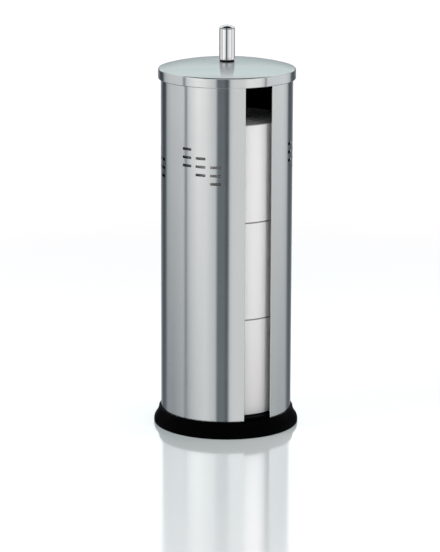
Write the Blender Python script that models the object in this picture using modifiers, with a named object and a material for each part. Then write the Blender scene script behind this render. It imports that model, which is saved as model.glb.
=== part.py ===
"""A free-standing store for spare toilet rolls.

A slotted tube of thin steel sheet stands in a flared plastic base and carries a domed lid with a round knob.
Three rolls stand on each other inside it. Metres, +Z up. The origin is the middle of the base's underside, and
the slot faces -Y.
"""

from math import asin, atan, ceil, cos, degrees, hypot, pi, radians, sin

import bmesh
import bpy
from mathutils import Matrix

# Shared by all the pieces
FIT_GAP = 0.0003  # air between two pieces that touch
CUT_OVERRUN = 0.002  # how far a cutter reaches past the wall that it cuts
WELD_DISTANCE = 0.00001  # points closer than this are one
LARGE_STEPS = 56  # facets round the tube, the base and the lid
ROLL_STEPS = 36
SMALL_STEPS = 24  # facets round the knob and the cores
SHARP_DEG = 35.0  # edges that bend more than this are drawn sharp

# The rolls
ROLL_RADIUS = 0.0580
ROLL_HEIGHT = 0.0984
ROLL_EDGE = 0.0020
ROLL_EDGE_STEPS = 2
CORE_RADIUS = 0.0212
CORE_WALL = 0.0008
ROLL_NAMES = ("bottom", "middle", "top")

# The tube, which is sized to take the rolls
SHEET = 0.0006
ROLL_CLEARANCE = 0.0074  # between the rolls and the sheet
HEADROOM = 0.0463  # from the top roll to the sheet's top edge
SLOT_WIDTH = 0.0295  # clear, between the two hems
HEM_WIDTH = 0.0030
HEM_SPACE = 0.0003  # air inside the folded hem
HEM_FLARE_DEG = 13.0  # the stiff hem stands out from the round of the tube
HEM_STEPS = 4

# The punched dashes
DASH_LENGTH = 0.0106
DASH_HEIGHT = 0.00275
DASH_CORNER = 0.0008
DASH_CORNER_STEPS = 2
DASH_COLUMN_PITCH = 0.0154  # measured round the tube
DASH_ROW_PITCH = 0.00826  # and each column also starts one row lower than the last
DASH_COLUMNS = 3
DASH_ROWS = 3
PATTERN_DROP = 0.0867  # from the sheet's top edge to a group's middle dash
PATTERN_MARGIN = 0.0040
GROUP_COUNT = 5
GROUP_FIRST_DEG = -52.3  # from the middle of the slot, towards +X
GROUP_PITCH_DEG = -63.0

# The base
LIP_TOP = 0.0163
LIP_WALL = 0.0019
LIP_EDGE = 0.0005
LIP_DRAFT_DEG = 6.0
COVE_RADIUS = 0.0160
BEAD_RADIUS = 0.0085
FLARE_DEG = 38.0  # how far the cove leans out before the bead takes over
FOOT_ROUND = 0.0012
FOOT_WIDTH = 0.0022
GROOVE_DEPTH = 0.0090
GROOVE_FLOOR = 0.0020
FLOOR_RISE = 0.0032  # floor inside the tube, over the lip
FLOOR_EDGE = 0.0005
FLOOR_THICKNESS = 0.0025
PLUG_WALL = 0.0022
RIB_THICKNESS = 0.0016
RIB_DEPTH = 0.0035
RIB_BARS = 3
HUB_RADIUS = 0.0120
HUB_WALL = 0.0018
HUB_DEPTH = 0.0040
RIB_ROOT = 0.0006  # how far ribs and hub reach into the walls they join

# The rim ring
RING_WALL = 0.0009
RING_WEB = 0.0014
RING_SKIRT = 0.0073  # down from the channel's floor
RING_EDGE = 0.0003

# The lid
LID_SHEET = 0.0005
LID_CLEARANCE = 0.0003  # between the hem and the rim ring
LID_CORNER = 0.0016
LID_SKIRT = 0.00975  # from the hem's lowest line to the middle of the corner
LID_DOME_RISE = 0.0068
LID_DOME_POWER = 3.0
LID_DOME_STEPS = 6
LID_HEM_HEIGHT = 0.0030
LID_HEM_SPACE = 0.0003
CORNER_STEPS = 3
ROUND_END_STEPS = 4

# The knob
KNOB_RADIUS = 0.0078
KNOB_HEIGHT = 0.03095
KNOB_WALL = 0.0011
KNOB_EDGE = 0.0003
FLANGE_INSET = 0.0005  # the plug's flange stands back from the side of the knob
FLANGE_HEIGHT = 0.0010
PLUG_LENGTH = 0.0160
PLUG_HOLE_DEPTH = 0.0130
CAP_RIM = 0.0006  # the cap's straight edge, as wide as the knob
CAP_RISE = 0.0027  # of its dome, over that edge
CAP_DEPTH = 0.0060
CAP_HOLLOW = 0.0045
CAP_WALL = 0.0012
CAP_STEPS = 5
SCREW_RADIUS = 0.0020
SCREW_LENGTH = 0.0130
SCREW_HEAD_RADIUS = 0.0046
SCREW_HEAD_HEIGHT = 0.0028
WASHER_RADIUS = 0.0070
WASHER_THICKNESS = 0.0010

# Heights and radii that follow from the sizes above
BODY_RADIUS = ROLL_RADIUS + ROLL_CLEARANCE + SHEET  # outside of the sheet
FLOOR_TOP = LIP_TOP + FLOOR_RISE
STACK_TOP = FLOOR_TOP + len(ROLL_NAMES) * (ROLL_HEIGHT + FIT_GAP)
GROOVE_BOTTOM = LIP_TOP - GROOVE_DEPTH
PLUG_RADIUS = BODY_RADIUS - SHEET - FIT_GAP
LIP_INNER = BODY_RADIUS + FIT_GAP
SHEET_BOTTOM = GROOVE_BOTTOM + FIT_GAP
SHEET_TOP = STACK_TOP + HEADROOM
RING_OUTER = BODY_RADIUS + FIT_GAP + RING_WALL
LID_RADIUS = RING_OUTER + LID_CLEARANCE + 2 * LID_SHEET + LID_HEM_SPACE
RING_CHANNEL = SHEET_TOP + FIT_GAP
RING_TOP = RING_CHANNEL + RING_WEB
RING_BOTTOM = RING_CHANNEL - RING_SKIRT
SCREW_HOLE_RADIUS = SCREW_RADIUS + FIT_GAP
FLANGE_RADIUS = KNOB_RADIUS - FLANGE_INSET


def clear_scene():
    for thing in list(bpy.data.objects):
        bpy.data.objects.remove(thing, do_unlink=True)


def new_collection(name, hidden=False):
    made = bpy.data.collections.new(name)
    bpy.context.scene.collection.children.link(made)
    made.hide_render = hidden
    return made


def new_material(name, colour, roughness, metallic):
    made = bpy.data.materials.new(name)
    made.use_nodes = True
    shader = made.node_tree.nodes["Principled BSDF"]
    shader.inputs["Base Color"].default_value = (*colour, 1.0)
    shader.inputs["Roughness"].default_value = roughness
    shader.inputs["Metallic"].default_value = metallic
    made.diffuse_color = (*colour, 1.0)
    made.roughness = roughness
    made.metallic = metallic
    return made


def new_frame(name, height, collection):
    """An empty on the tube's axis, which the pieces of one moving body are placed under."""
    made = bpy.data.objects.new(name, None)
    made.location.z = height
    collection.objects.link(made)
    return made


def place(piece, frame, collection, material=None):
    """Puts a piece in its collection, under its body's frame, and gives it its material."""
    collection.objects.link(piece)
    piece.parent = frame
    if material:
        piece.data.materials.clear()
        piece.data.materials.append(material)
    return piece


def as_cutter(piece, collection):
    piece.hide_render = True
    piece.display_type = "WIRE"
    collection.objects.link(piece)
    return piece


def boolean(piece, other, operation):
    step = piece.modifiers.new(f"{operation.lower()} {other.name}", "BOOLEAN")
    step.operation = operation
    step.solver = "EXACT"
    if isinstance(other, bpy.types.Collection):
        step.operand_type = "COLLECTION"
        step.collection = other
    else:
        step.object = other
    return step


def arc(centre, radius, start_deg, end_deg, steps, skip_first=False):
    """Points of an arc in the (radius, height) plane. 0 degrees points outwards and 90 up."""
    points = []
    for i in range(1 if skip_first else 0, steps + 1):
        angle = radians(start_deg + (end_deg - start_deg) * i / steps)
        points.append((centre[0] + radius * cos(angle), centre[1] + radius * sin(angle)))
    return points


def shaded(mesh):
    mesh.shade_smooth()
    mesh.set_sharp_from_angle(angle=radians(SHARP_DEG))
    return mesh


def turned_mesh(name, outline, steps, closed=True):
    """A mesh turned about Z from an outline of (radius, height) points, which runs down the outer side."""
    profile = bpy.data.meshes.new(f"{name} outline")
    edges = [(i, i + 1) for i in range(len(outline) - 1)]
    if closed:
        edges.append((len(outline) - 1, 0))
    profile.from_pydata([(radius, 0.0, height) for radius, height in outline], edges, [])
    helper = bpy.data.objects.new(f"{name} outline", profile)
    bpy.context.scene.collection.objects.link(helper)
    screw = helper.modifiers.new("turn", "SCREW")
    screw.axis = "Z"
    screw.angle = 2 * pi
    screw.steps = steps
    screw.render_steps = steps
    screw.use_merge_vertices = True
    screw.merge_threshold = WELD_DISTANCE
    return baked(helper, name)


def baked(helper, name):
    """The helper's evaluated mesh under a new name. The helper is removed."""
    bpy.context.view_layer.update()
    graph = bpy.context.evaluated_depsgraph_get()
    mesh = bpy.data.meshes.new_from_object(helper.evaluated_get(graph), depsgraph=graph)
    mesh.name = name
    bpy.data.objects.remove(helper, do_unlink=True)
    return shaded(mesh)


def turned(name, outline, steps, closed=True):
    return bpy.data.objects.new(name, turned_mesh(name, outline, steps, closed))


def box(name, low, high):
    """A box between two corners."""
    mesh = bpy.data.meshes.new(name)
    size = [b - a for a, b in zip(low, high)]
    centre = [(a + b) / 2 for a, b in zip(low, high)]
    bm = bmesh.new()
    bmesh.ops.create_cube(bm, size=1.0, matrix=Matrix.Translation(centre) @ Matrix.Diagonal((*size, 1.0)))
    bm.to_mesh(mesh)
    bm.free()
    return bpy.data.objects.new(name, mesh)


def washer_outline(inner, outer, bottom, top):
    """The outline of a plain ring."""
    return [(inner, top), (outer, top), (outer, bottom), (inner, bottom)]


def half_sheet_path():
    """The middle line of the sheet in plan, from the free end of the hem at +X to the back of the tube, and
    where the hem begins. Angles are from -Y towards +X."""
    middle_radius = BODY_RADIUS - SHEET / 2
    fold_radius = (SHEET + HEM_SPACE) / 2
    fold_x = SLOT_WIDTH / 2 + fold_radius + SHEET / 2
    lean = asin(fold_x / middle_radius) + radians(HEM_FLARE_DEG)
    along = (cos(lean), sin(lean))
    outward = (sin(lean), -cos(lean))
    strip = HEM_WIDTH - fold_radius - SHEET / 2
    start_x = fold_x + fold_radius * outward[0] + strip * along[0]
    start = asin(start_x / middle_radius)
    start_y = -middle_radius * cos(start)
    fold_y = start_y - fold_radius * outward[1] - strip * along[1]

    def from_fold(out, away):
        return (
            fold_x + out * outward[0] + away * along[0],
            fold_y + out * outward[1] + away * along[1],
        )

    path = [from_fold(-fold_radius, strip)]
    for i in range(HEM_STEPS + 1):
        turn = pi - pi * i / HEM_STEPS
        path.append(from_fold(fold_radius * cos(turn), -fold_radius * sin(turn)))
    facet = 2 * pi / LARGE_STEPS
    count = ceil((pi - start) / facet)
    for i in range(count + 1):
        angle = start + (pi - start) * i / count
        path.append((middle_radius * sin(angle), -middle_radius * cos(angle)))
    path[-1] = (0.0, middle_radius)
    return path, start_x


def pattern_reach():
    """How far a group of dashes reaches over and under its middle, with a margin."""
    rows = (DASH_ROWS + DASH_COLUMNS - 2) / 2
    return rows * DASH_ROW_PITCH + DASH_HEIGHT / 2 + PATTERN_MARGIN


def make_body_shell(frame, parts, cutters, steel):
    path, hem_start = half_sheet_path()
    middle = SHEET_TOP - PATTERN_DROP
    levels = (SHEET_BOTTOM, middle - pattern_reach(), middle + pattern_reach(), SHEET_TOP)
    mesh = bpy.data.meshes.new("body_shell")
    bm = bmesh.new()
    rows = [[bm.verts.new((x, y, z)) for x, y in path] for z in levels]
    for lower, upper in zip(rows, rows[1:]):
        for i in range(len(path) - 1):
            bm.faces.new((lower[i], lower[i + 1], upper[i + 1], upper[i]))
    bm.to_mesh(mesh)
    bm.free()
    mesh.shade_smooth()
    shell = place(bpy.data.objects.new("body_shell", mesh), frame, parts, steel)

    mirror = shell.modifiers.new("other half", "MIRROR")
    mirror.use_axis = (True, False, False)
    mirror.merge_threshold = WELD_DISTANCE
    wall = shell.modifiers.new("sheet", "SOLIDIFY")
    wall.thickness = SHEET
    wall.offset = 0.0
    wall.use_even_offset = True

    # The hem stops short of the groove and of the rim ring, where the sheet is a single layer.
    inner = BODY_RADIUS - SHEET - HEM_WIDTH
    outer = BODY_RADIUS + HEM_WIDTH
    half = hem_start + FIT_GAP
    low_notch = box(
        "hem_notch_bottom",
        (-half, -outer, SHEET_BOTTOM - CUT_OVERRUN),
        (half, -inner * cos(asin(half / inner)) + HEM_WIDTH, LIP_TOP + FIT_GAP),
    )
    high_notch = box(
        "hem_notch_top",
        (-half, -outer, RING_BOTTOM - FIT_GAP),
        (half, -inner * cos(asin(half / inner)) + HEM_WIDTH, SHEET_TOP + CUT_OVERRUN),
    )
    relief = turned(
        "hem_relief",
        [
            (0.0, FLOOR_TOP + FIT_GAP),
            (PLUG_RADIUS + FIT_GAP / 2, FLOOR_TOP + FIT_GAP),
            (PLUG_RADIUS + FIT_GAP / 2, SHEET_BOTTOM - CUT_OVERRUN),
            (0.0, SHEET_BOTTOM - CUT_OVERRUN),
        ],
        LARGE_STEPS,
        closed=False,
    )
    for cutter in (low_notch, high_notch, relief):
        boolean(shell, as_cutter(cutter, cutters), "DIFFERENCE")
    boolean(shell, dash_punches(middle, cutters), "DIFFERENCE")
    return shell


def punch_mesh():
    """One punch: a bar along Y with rounded corners."""
    depth = 2 * (SHEET + CUT_OVERRUN)
    bm = bmesh.new()
    bmesh.ops.create_cube(bm, size=1.0, matrix=Matrix.Diagonal((DASH_LENGTH, depth, DASH_HEIGHT, 1.0)))
    corners = [edge for edge in bm.edges if abs(edge.verts[0].co.y - edge.verts[1].co.y) > depth / 2]
    bmesh.ops.bevel(
        bm, geom=corners, offset=DASH_CORNER, segments=DASH_CORNER_STEPS, profile=0.5, affect="EDGES"
    )
    mesh = bpy.data.meshes.new("dash_punch")
    bm.to_mesh(mesh)
    bm.free()
    return mesh


def dash_punches(middle, cutters):
    """The punches of every group, in a collection of their own. Each column starts one row lower."""
    punches = bpy.data.collections.new("dash_punches")
    punches.hide_render = True
    cutters.children.link(punches)
    mesh = punch_mesh()
    radius = BODY_RADIUS - SHEET / 2
    for group in range(GROUP_COUNT):
        for column in range(DASH_COLUMNS):
            aside = column - (DASH_COLUMNS - 1) / 2
            angle = radians(GROUP_FIRST_DEG + GROUP_PITCH_DEG * group) + aside * DASH_COLUMN_PITCH / BODY_RADIUS
            for row in range(DASH_ROWS):
                down = row - (DASH_ROWS - 1) / 2 + aside
                punch = bpy.data.objects.new(f"punch_{group}_{column}_{row}", mesh)
                punch.location = (radius * sin(angle), -radius * cos(angle), middle - down * DASH_ROW_PITCH)
                punch.rotation_euler.z = angle
                as_cutter(punch, punches)
    return punches


def base_outline():
    """The base's section: lip, cove and bead outside, hollow underside, floor, and the groove for the sheet."""
    lip_outer = LIP_INNER + LIP_WALL
    draft, flare = radians(LIP_DRAFT_DEG), radians(FLARE_DEG)
    cove_centre = (lip_outer + COVE_RADIUS * cos(draft), LIP_TOP - LIP_EDGE + COVE_RADIUS * sin(draft))
    cove = arc(cove_centre, COVE_RADIUS, 180.0 + LIP_DRAFT_DEG, 180.0 + FLARE_DEG, CORNER_STEPS)
    join = cove[-1]
    bead_centre = (join[0] - BEAD_RADIUS * cos(flare), join[1] - BEAD_RADIUS * sin(flare))
    bead = arc(bead_centre, BEAD_RADIUS, FLARE_DEG, 0.0, CORNER_STEPS, skip_first=True)
    widest = bead[-1][0]
    foot = arc((widest - FOOT_ROUND, FOOT_ROUND), FOOT_ROUND, 0.0, -90.0, CORNER_STEPS)
    foot_inner = foot[-1][0] - FOOT_WIDTH
    ceiling = GROOVE_BOTTOM - GROOVE_FLOOR
    wall_inner = PLUG_RADIUS - PLUG_WALL
    return [
        (0.0, FLOOR_TOP),
        (PLUG_RADIUS - FLOOR_EDGE, FLOOR_TOP),
        (PLUG_RADIUS, FLOOR_TOP - FLOOR_EDGE),
        (PLUG_RADIUS, GROOVE_BOTTOM),
        (LIP_INNER, GROOVE_BOTTOM),
        (LIP_INNER, LIP_TOP - LIP_EDGE),
        (LIP_INNER + LIP_EDGE, LIP_TOP),
        (lip_outer - LIP_EDGE, LIP_TOP),
        *cove,
        *bead,
        *foot,
        (foot_inner, 0.0),
        (foot_inner, ceiling),
        (wall_inner, ceiling),
        (wall_inner, FLOOR_TOP - FLOOR_THICKNESS),
        (0.0, FLOOR_TOP - FLOOR_THICKNESS),
    ]


def make_base_moulding(frame, parts, cutters, plastic):
    base = place(turned("base_moulding", base_outline(), LARGE_STEPS, closed=False), frame, parts, plastic)
    under = FLOOR_TOP - FLOOR_THICKNESS
    reach = PLUG_RADIUS - PLUG_WALL + RIB_ROOT
    for i in range(RIB_BARS):
        bar = box(
            f"rib_bar_{i}",
            (-reach, -RIB_THICKNESS / 2, under - RIB_DEPTH),
            (reach, RIB_THICKNESS / 2, under + RIB_ROOT),
        )
        bar.rotation_euler.z = pi * i / RIB_BARS
        boolean(base, as_cutter(bar, cutters), "UNION")
    hub = turned(
        "rib_hub",
        washer_outline(HUB_RADIUS - HUB_WALL, HUB_RADIUS, under - HUB_DEPTH, under + RIB_ROOT),
        SMALL_STEPS,
    )
    boolean(base, as_cutter(hub, cutters), "UNION")
    return base


def make_rim_ring(frame, parts, plastic):
    """A channel that opens downwards over the sheet's top edge."""
    inner = PLUG_RADIUS - RING_WALL
    outline = [
        (inner, RING_TOP - RING_EDGE),
        (inner + RING_EDGE, RING_TOP),
        (RING_OUTER - RING_EDGE, RING_TOP),
        (RING_OUTER, RING_TOP - RING_EDGE),
        (RING_OUTER, RING_BOTTOM),
        (LIP_INNER, RING_BOTTOM),
        (LIP_INNER, RING_CHANNEL),
        (PLUG_RADIUS, RING_CHANNEL),
        (PLUG_RADIUS, RING_BOTTOM),
        (inner, RING_BOTTOM),
    ]
    return place(turned("rim_ring", outline, LARGE_STEPS), frame, parts, plastic)


def dome_edge():
    """Where the dome meets the corner: how far it leans there, its radius, and its height over the skirt's foot."""
    corner_radius = LID_RADIUS - LID_CORNER
    lean = atan(LID_DOME_RISE * LID_DOME_POWER / corner_radius)
    corner_height = LID_SKIRT - LID_CORNER * sin(pi / 4)
    return lean, corner_radius + LID_CORNER * sin(lean), corner_height + LID_CORNER * cos(lean)


def dome_height(radius):
    """Height of the lid's outer skin over the skirt's foot."""
    _, edge_radius, edge_height = dome_edge()
    return edge_height + LID_DOME_RISE * (1 - (radius / edge_radius) ** LID_DOME_POWER)


def dome_lean(radius):
    _, edge_radius, _ = dome_edge()
    slope = LID_DOME_RISE * LID_DOME_POWER / edge_radius * (radius / edge_radius) ** (LID_DOME_POWER - 1)
    return atan(slope)


def lid_underside(radius):
    """Height of the lid's inner skin over the skirt's foot, straight above a radius."""
    return dome_height(radius) - LID_SHEET / cos(dome_lean(radius))


def lid_outline():
    lean, edge_radius, edge_height = dome_edge()
    lean_deg = degrees(lean)
    corner = (LID_RADIUS - LID_CORNER, edge_height - LID_CORNER * cos(lean))
    hem = LID_SHEET + LID_HEM_SPACE / 2
    hem_centre = (LID_RADIUS - hem, hem)
    span = edge_radius - SCREW_HOLE_RADIUS
    radii = [SCREW_HOLE_RADIUS + span * i / LID_DOME_STEPS for i in range(LID_DOME_STEPS)]
    skin = [(radius, dome_height(radius)) for radius in radii]
    skin += arc(corner, LID_CORNER, 90.0 - lean_deg, 0.0, CORNER_STEPS)
    fold = arc(hem_centre, hem, 0.0, -180.0, ROUND_END_STEPS)
    layer_inner = LID_RADIUS - 2 * hem
    lining = arc(corner, LID_CORNER - LID_SHEET, 0.0, 90.0 - lean_deg, CORNER_STEPS)
    for radius in reversed(radii):
        lining.append((radius, lid_underside(radius)))
    return [
        *skin,
        *fold,
        (layer_inner, LID_HEM_HEIGHT),
        (layer_inner + LID_SHEET, LID_HEM_HEIGHT),
        (layer_inner + LID_SHEET, hem),
        (LID_RADIUS - LID_SHEET, hem),
        *lining,
    ]


def make_lid(frame, parts, steel):
    return place(turned("lid_shell", lid_outline(), LARGE_STEPS), frame, parts, steel)


def make_knob(frame, parts, polished, plastic, zinc):
    """Everything at the middle of the lid. Heights are over the skirt's foot."""
    bore = KNOB_RADIUS - KNOB_WALL
    fit = bore - FIT_GAP
    flange_bottom = dome_height(SCREW_HOLE_RADIUS) + FIT_GAP
    flange_top = flange_bottom + FLANGE_HEIGHT
    tube_bottom = flange_top + FIT_GAP
    tube_top = tube_bottom + KNOB_HEIGHT
    tube = [
        (bore, tube_top),
        (KNOB_RADIUS - KNOB_EDGE, tube_top),
        (KNOB_RADIUS, tube_top - KNOB_EDGE),
        (KNOB_RADIUS, tube_bottom + KNOB_EDGE),
        (KNOB_RADIUS - KNOB_EDGE, tube_bottom),
        (bore, tube_bottom),
    ]
    place(turned("knob_tube", tube, SMALL_STEPS), frame, parts, polished)

    cap_bottom = tube_top + FIT_GAP
    cap_top = cap_bottom + CAP_RIM + CAP_RISE
    dome_radius = (KNOB_RADIUS**2 + CAP_RISE**2) / (2 * CAP_RISE)
    dome_centre = (0.0, cap_top - dome_radius)
    edge_deg = degrees(asin((dome_radius - CAP_RISE) / dome_radius))
    cap = [
        *arc(dome_centre, dome_radius, 90.0, edge_deg, CAP_STEPS),
        (KNOB_RADIUS, cap_bottom + KNOB_EDGE),
        (KNOB_RADIUS - KNOB_EDGE, cap_bottom),
        (fit, cap_bottom),
        (fit, cap_bottom - CAP_DEPTH),
        (fit - CAP_WALL, cap_bottom - CAP_DEPTH),
        (fit - CAP_WALL, cap_bottom - CAP_DEPTH + CAP_HOLLOW),
        (0.0, cap_bottom - CAP_DEPTH + CAP_HOLLOW),
    ]
    cap[0] = (0.0, cap_top)
    place(turned("knob_end_cap", cap, SMALL_STEPS, closed=False), frame, parts, polished)

    hole_top = flange_bottom + PLUG_HOLE_DEPTH
    plug = [
        (0.0, flange_bottom + PLUG_LENGTH),
        (fit - KNOB_EDGE, flange_bottom + PLUG_LENGTH),
        (fit, flange_bottom + PLUG_LENGTH - KNOB_EDGE),
        (fit, flange_top),
        (FLANGE_RADIUS - KNOB_EDGE, flange_top),
        (FLANGE_RADIUS, flange_top - KNOB_EDGE),
        (FLANGE_RADIUS, flange_bottom + KNOB_EDGE),
        (FLANGE_RADIUS - KNOB_EDGE, flange_bottom),
        (SCREW_HOLE_RADIUS, flange_bottom),
        (SCREW_HOLE_RADIUS, hole_top),
        (0.0, hole_top),
    ]
    place(turned("knob_base_plug", plug, SMALL_STEPS, closed=False), frame, parts, plastic)

    washer_top = lid_underside(WASHER_RADIUS) - FIT_GAP
    washer_bottom = washer_top - WASHER_THICKNESS
    ring = washer_outline(SCREW_HOLE_RADIUS, WASHER_RADIUS, washer_bottom, washer_top)
    place(turned("knob_washer", ring, SMALL_STEPS), frame, parts, zinc)

    head_top = washer_bottom - FIT_GAP
    screw_top = head_top + SCREW_LENGTH
    head_flat = SCREW_HEAD_RADIUS / 2
    head_side = head_top - SCREW_HEAD_HEIGHT / 2
    screw = [
        (0.0, screw_top),
        (SCREW_RADIUS - KNOB_EDGE, screw_top),
        (SCREW_RADIUS, screw_top - KNOB_EDGE),
        (SCREW_RADIUS, head_top),
        (SCREW_HEAD_RADIUS, head_top),
        (SCREW_HEAD_RADIUS, head_side),
        (head_flat, head_top - SCREW_HEAD_HEIGHT),
        (0.0, head_top - SCREW_HEAD_HEIGHT),
    ]
    place(turned("knob_screw", screw, SMALL_STEPS, closed=False), frame, parts, zinc)


def paper_outline():
    inner = CORE_RADIUS + FIT_GAP
    corner = ROLL_RADIUS - ROLL_EDGE
    upper = arc((corner, ROLL_HEIGHT - ROLL_EDGE), ROLL_EDGE, 90.0, 0.0, ROLL_EDGE_STEPS)
    lower = arc((corner, ROLL_EDGE), ROLL_EDGE, 0.0, -90.0, ROLL_EDGE_STEPS)
    return [(inner, ROLL_HEIGHT), *upper, *lower, (inner, 0.0)]


def make_rolls(parts, paper, cardboard):
    """Three rolls on top of each other, which share their meshes."""
    wound = turned_mesh("roll_paper", paper_outline(), ROLL_STEPS)
    tube = turned_mesh(
        "roll_core", washer_outline(CORE_RADIUS - CORE_WALL, CORE_RADIUS, 0.0, ROLL_HEIGHT), SMALL_STEPS
    )
    wound.materials.append(paper)
    tube.materials.append(cardboard)
    for i, name in enumerate(ROLL_NAMES):
        height = FLOOR_TOP + FIT_GAP + i * (ROLL_HEIGHT + FIT_GAP)
        frame = new_frame(f"roll_{name}_frame", height, parts)
        place(bpy.data.objects.new(f"paper_{name}", wound), frame, parts)
        place(bpy.data.objects.new(f"core_{name}", tube), frame, parts)


def main():
    clear_scene()
    parts = new_collection("toilet_roll_holder")
    cutters = new_collection("cutters", hidden=True)
    steel = new_material("satin_steel", (0.72, 0.73, 0.725), 0.28, 1.0)
    polished = new_material("polished_steel", (0.78, 0.78, 0.78), 0.08, 1.0)
    plastic = new_material("black_plastic", (0.004, 0.004, 0.0045), 0.35, 0.0)
    zinc = new_material("zinc_plate", (0.60, 0.60, 0.58), 0.35, 1.0)
    paper = new_material("white_paper", (0.88, 0.88, 0.88), 0.9, 0.0)
    cardboard = new_material("grey_cardboard", (0.48, 0.42, 0.35), 0.9, 0.0)

    holder = new_frame("holder_frame", 0.0, parts)
    make_base_moulding(holder, parts, cutters, plastic)
    make_body_shell(holder, parts, cutters, steel)
    make_rim_ring(holder, parts, plastic)

    lid_height = RING_TOP + FIT_GAP - lid_underside(RING_OUTER)
    lid = new_frame("lid_frame", lid_height, parts)
    make_lid(lid, parts, steel)
    make_knob(lid, parts, polished, plastic, zinc)

    make_rolls(parts, paper, cardboard)
    bpy.context.view_layer.update()
    print(f"lid skirt foot at {1000 * lid_height:.1f} mm, ring top at {1000 * RING_TOP:.1f} mm")
    print(f"widest radius {1000 * max(point[0] for point in base_outline()):.2f} mm")
    print(f"hem stands out to {1000 * max(hypot(*point) for point in half_sheet_path()[0]) + 500 * SHEET:.2f} mm")


main()
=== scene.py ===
# %% [markdown]
# # A store for spare toilet rolls
# A slotted tube of brushed steel stands in a black moulded base. It is closed by a domed lid with a round
# knob, and three rolls stand in it. The CAD model gives every place and size, so this script first loads it
# as a frame, then makes each piece again with finer curves and its real finish.

# %% Load the frame
from math import asin, atan, ceil, cos, degrees, hypot, pi, radians, sin

import bmesh
import bpy
from mathutils import Matrix, Vector


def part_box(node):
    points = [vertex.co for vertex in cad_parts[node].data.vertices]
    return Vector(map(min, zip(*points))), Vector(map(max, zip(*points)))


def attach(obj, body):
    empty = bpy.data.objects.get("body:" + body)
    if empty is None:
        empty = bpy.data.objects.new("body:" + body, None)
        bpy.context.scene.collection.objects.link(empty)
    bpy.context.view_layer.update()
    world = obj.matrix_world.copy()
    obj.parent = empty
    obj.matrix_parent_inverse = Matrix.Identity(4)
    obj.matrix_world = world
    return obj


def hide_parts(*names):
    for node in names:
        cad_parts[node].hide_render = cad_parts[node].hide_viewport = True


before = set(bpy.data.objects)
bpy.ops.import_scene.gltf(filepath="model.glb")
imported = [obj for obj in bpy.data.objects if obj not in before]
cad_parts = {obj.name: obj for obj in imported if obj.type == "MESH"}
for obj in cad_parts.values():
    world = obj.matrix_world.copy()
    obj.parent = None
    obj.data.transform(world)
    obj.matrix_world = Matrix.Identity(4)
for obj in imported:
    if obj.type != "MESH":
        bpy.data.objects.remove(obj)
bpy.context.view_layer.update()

# %% [markdown]
# ## Sizes
# Whatever a CAD node's box can say is read from it: radii from how far a piece reaches along X or Y,
# heights from its lowest and highest point. The sizes that no box shows, such as the thickness of the
# sheet, are written here once.

# %% Sizes from the frame
FIT = 0.0003  # air between pieces that touch
SHEET = 0.0006  # the tube's steel
LID_SHEET = 0.0005
SMALL_CORNER = 0.0003  # size of the curve on a small piece's corners

tube_low, tube_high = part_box("body_shell")
_, base_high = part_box("base_moulding")
ring_low, ring_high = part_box("rim_ring")
lid_low, lid_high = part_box("lid_shell")

TUBE_RADIUS = tube_high.y
BASE_RADIUS = base_high.y
RING_RADIUS = ring_high.y
LID_RADIUS = lid_high.y
PLUG_RADIUS = TUBE_RADIUS - SHEET - FIT  # of the raised floor that the tube is pushed over
LIP_RADIUS = TUBE_RADIUS + FIT  # inside of the base's lip
FLOOR_TOP = base_high.z
print(f"tube radius {1000 * TUBE_RADIUS:.1f}, base {1000 * BASE_RADIUS:.1f}, lid {1000 * LID_RADIUS:.1f} mm")

# %% [markdown]
# ## Turned pieces
# The base, the lid, the rim ring and everything at the knob are round, as if turned on a lathe. Blender
# could spin a curve with a Screw modifier, but a short loop that lays ring after ring gives each face its
# texture coordinates at the same time: u runs round the piece and v along its outline, both in metres, so
# brushing marks can follow the metal. Real edges are never knife sharp, so an outline's corners are eased
# first.

# %% Arcs and eased corners
WELD = 0.000001


def arc(centre, radius, start_deg, end_deg, steps, skip_first=False):
    """Points of an arc in the (radius, height) plane. 0 degrees points outwards and 90 up."""
    points = []
    for i in range(1 if skip_first else 0, steps + 1):
        angle = radians(start_deg + (end_deg - start_deg) * i / steps)
        points.append((centre[0] + radius * cos(angle), centre[1] + radius * sin(angle)))
    return points


def eased(outline, size, closed=True, least_bend_deg=25.0, steps=3):
    """The outline with each corner that bends sharply replaced by a small curve."""
    count = len(outline)
    result = []
    for i, point in enumerate(outline):
        if not closed and i in (0, count - 1):
            result.append(point)
            continue
        here = Vector(point)
        before = Vector(outline[i - 1]) - here
        after = Vector(outline[(i + 1) % count]) - here
        if pi - before.angle(after) < radians(least_bend_deg):
            result.append(point)
            continue
        start = here + before.normalized() * min(size, before.length / 2.5)
        end = here + after.normalized() * min(size, after.length / 2.5)
        for k in range(steps + 1):
            t = k / steps
            result.append(tuple((1 - t) ** 2 * start + 2 * t * (1 - t) * here + t**2 * end))
    return result


# %% Lay rings into a closed body
SHARP_DEG = 32.0
BRACE = 0.00012  # how far inside a run's end its extra point lies
BRACE_RUN = 0.0008  # the shortest run that gets one
BRACE_BEND_DEG = 3.5  # and the least bend next to it


def shaded(mesh):
    mesh.shade_smooth()
    mesh.set_sharp_from_angle(angle=radians(SHARP_DEG))
    return mesh


def as_piece(name, data):
    piece = bpy.data.objects.new(name, data)
    bpy.context.scene.collection.objects.link(piece)
    return piece


def mesh_piece(name, bm):
    """The finished bmesh as a piece."""
    mesh = bpy.data.meshes.new(name)
    bm.to_mesh(mesh)
    bm.free()
    return as_piece(name, mesh)


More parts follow.
